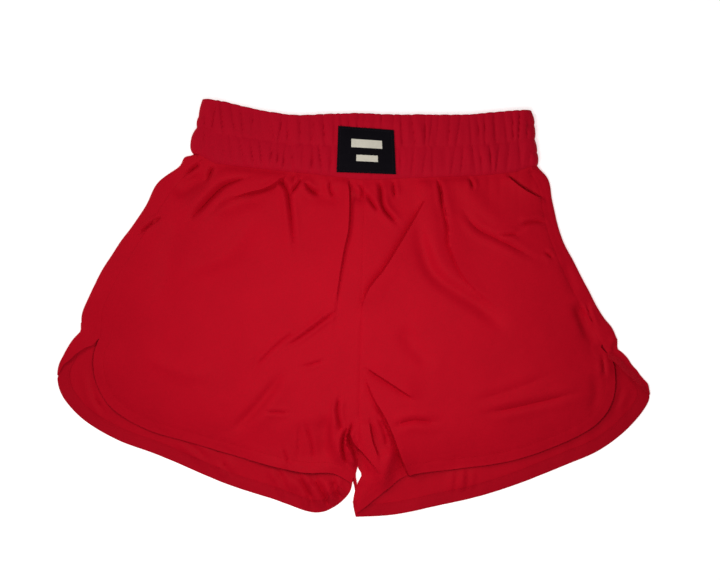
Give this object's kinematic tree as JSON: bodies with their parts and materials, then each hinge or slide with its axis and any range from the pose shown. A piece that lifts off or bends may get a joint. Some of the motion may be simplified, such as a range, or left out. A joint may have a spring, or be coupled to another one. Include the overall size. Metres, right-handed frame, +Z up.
{
  "type": "boxing shorts",
  "caption": "Women's woven boxing shorts, laid flat: wide gathered elastic waistband, curved side-notched hems, longer back, plain black front label.",
  "frame": {"origin": "middle of the outline in plan, on the surface the shorts lie on", "axes": "+X to the wearer's left, across the hips; +Y up the body towards the waistband; +Z up, out of the front"},
  "size_m": [0.5484, 0.386, 0.0138],
  "materials": {
    "body_cloth": "plain woven polyester, matt with a faint sheen",
    "band_cloth": "the body cloth, gathered over elastic",
    "facing_cloth": "bias strip of the body cloth",
    "thread": "spun polyester sewing thread",
    "elastic": "knitted elastic",
    "label_weave": "black woven satin label",
    "label_thread": "black sewing thread",
    "care_satin": "white satin tape, blank"
  },
  "bodies": {
    "left_half": {"left_front_panel": "body_cloth", "left_back_panel": "body_cloth", "left_side_seam": "thread", "left_inseam": "thread", "left_front_hem_facing": "facing_cloth", "left_back_hem_facing": "facing_cloth", "left_front_hem_stitching": "thread", "left_back_hem_stitching": "thread", "left_waistband_casing": "band_cloth", "left_upper_elastic": "elastic", "left_lower_elastic": "elastic", "left_band_middle_stitching": "thread", "left_waist_seam": "thread", "centre_front_seam": "thread", "centre_back_seam": "thread", "front_label": "label_weave", "label_stitching": "label_thread", "care_label": "care_satin"},
    "right_half": {"right_front_panel": "body_cloth", "right_back_panel": "body_cloth", "right_side_seam": "thread", "right_inseam": "thread", "right_front_hem_facing": "facing_cloth", "right_back_hem_facing": "facing_cloth", "right_front_hem_stitching": "thread", "right_back_hem_stitching": "thread", "right_waistband_casing": "band_cloth", "right_upper_elastic": "elastic", "right_lower_elastic": "elastic", "right_band_middle_stitching": "thread", "right_waist_seam": "thread"}
  },
  "joints": [
    {"name": "fold_in_half", "type": "hinge", "parent": "left_half", "child": "right_half", "pos_m": [0.00678, -0.016, 0.0141], "axis": [0.0205, 0.9998, 0], "range_deg": [0, 180], "deforming": ["front_label", "label_stitching"]}
  ]
}
